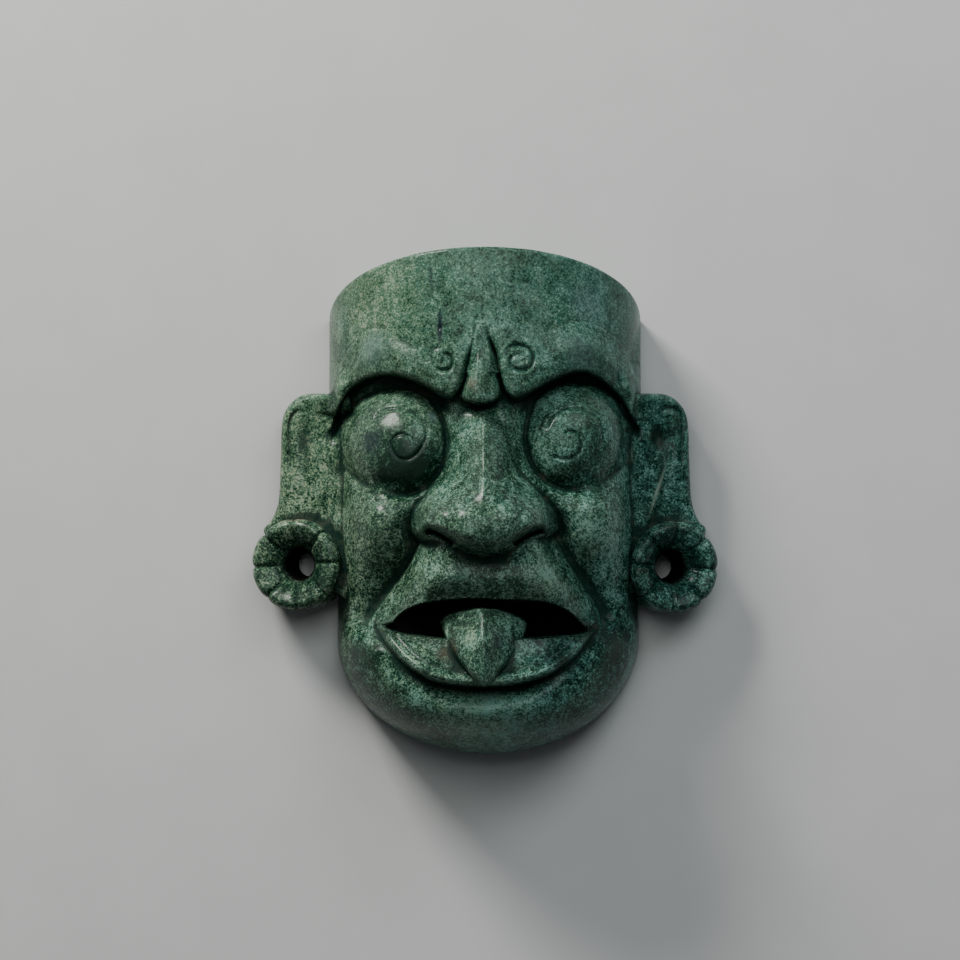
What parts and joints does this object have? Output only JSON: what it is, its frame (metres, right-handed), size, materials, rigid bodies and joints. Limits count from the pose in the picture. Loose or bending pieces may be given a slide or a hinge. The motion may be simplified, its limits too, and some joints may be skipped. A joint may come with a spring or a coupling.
{
  "type": "jade mask",
  "caption": "Life-size carved stone face mask with goggle eyes, a central tooth, strap ears and petalled ear flares, hollowed behind a flat rim.",
  "frame": {"origin": "centre of the bounding box in X and Y, on the plane of the flat back rim", "axes": "+X to the viewer's right, +Y from the chin to the crown, +Z out of the face, so the mask lies on its back"},
  "size_m": [0.1746, 0.1896, 0.0808],
  "materials": {
    "jade": "polished mottled green stone"
  },
  "bodies": {
    "root": {"jade_mask": "jade"}
  },
  "joints": []
}
